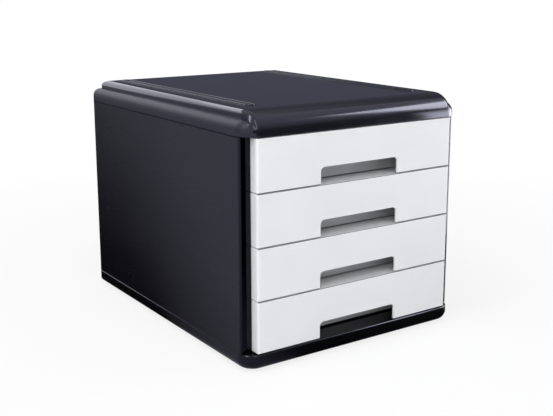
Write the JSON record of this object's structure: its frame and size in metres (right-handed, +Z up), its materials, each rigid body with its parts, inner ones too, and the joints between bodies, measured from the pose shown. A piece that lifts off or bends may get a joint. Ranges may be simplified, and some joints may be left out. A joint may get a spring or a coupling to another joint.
{
  "type": "letter tray stack with drawers",
  "caption": "Closed desk cabinet of stacked paper drawers with finger notches, a rounded top cover, hollow side walls with runners, and a rounded base on rubber feet.",
  "frame": {"origin": "on the surface it stands on, under the middle of the cabinet", "axes": "+Z up, -Y the way the drawers open, +X to the right for someone facing the drawers"},
  "size_m": [0.275, 0.348, 0.2591],
  "materials": {
    "cover_plastic": "charcoal polystyrene, semi-gloss",
    "base_plastic": "black polystyrene, semi-gloss",
    "side_plastic": "charcoal polystyrene, fine satin texture",
    "liner_plastic": "dark grey polystyrene, plain",
    "front_plastic": "light grey polystyrene, satin",
    "tray_plastic": "grey polystyrene, satin",
    "foot_rubber": "black rubber, matt",
    "screw_steel": "zinc-plated steel"
  },
  "bodies": {
    "cabinet": {"top_cover": "cover_plastic", "base": "base_plastic", "left_side_panel": "side_plastic", "right_side_panel": "side_plastic", "left_runner_liner": "liner_plastic", "right_runner_liner": "liner_plastic", "back_panel": "side_plastic", "foot_front_left": "foot_rubber", "foot_front_right": "foot_rubber", "foot_rear_left": "foot_rubber", "foot_rear_right": "foot_rubber", "base_screws": "screw_steel"},
    "drawer_1": {"drawer_1_tray": "tray_plastic", "drawer_1_front": "front_plastic"},
    "drawer_2": {"drawer_2_tray": "tray_plastic", "drawer_2_front": "front_plastic"},
    "drawer_3": {"drawer_3_tray": "tray_plastic", "drawer_3_front": "front_plastic"},
    "drawer_4": {"drawer_4_tray": "tray_plastic", "drawer_4_front": "front_plastic"}
  },
  "joints": [
    {"name": "drawer_1_slide", "type": "slide", "parent": "cabinet", "child": "drawer_1", "axis": [0, -1, 0], "range_m": [0, 0.24]},
    {"name": "drawer_2_slide", "type": "slide", "parent": "cabinet", "child": "drawer_2", "axis": [0, -1, 0], "range_m": [0, 0.24]},
    {"name": "drawer_3_slide", "type": "slide", "parent": "cabinet", "child": "drawer_3", "axis": [0, -1, 0], "range_m": [0, 0.24]},
    {"name": "drawer_4_slide", "type": "slide", "parent": "cabinet", "child": "drawer_4", "axis": [0, -1, 0], "range_m": [0, 0.24]}
  ]
}
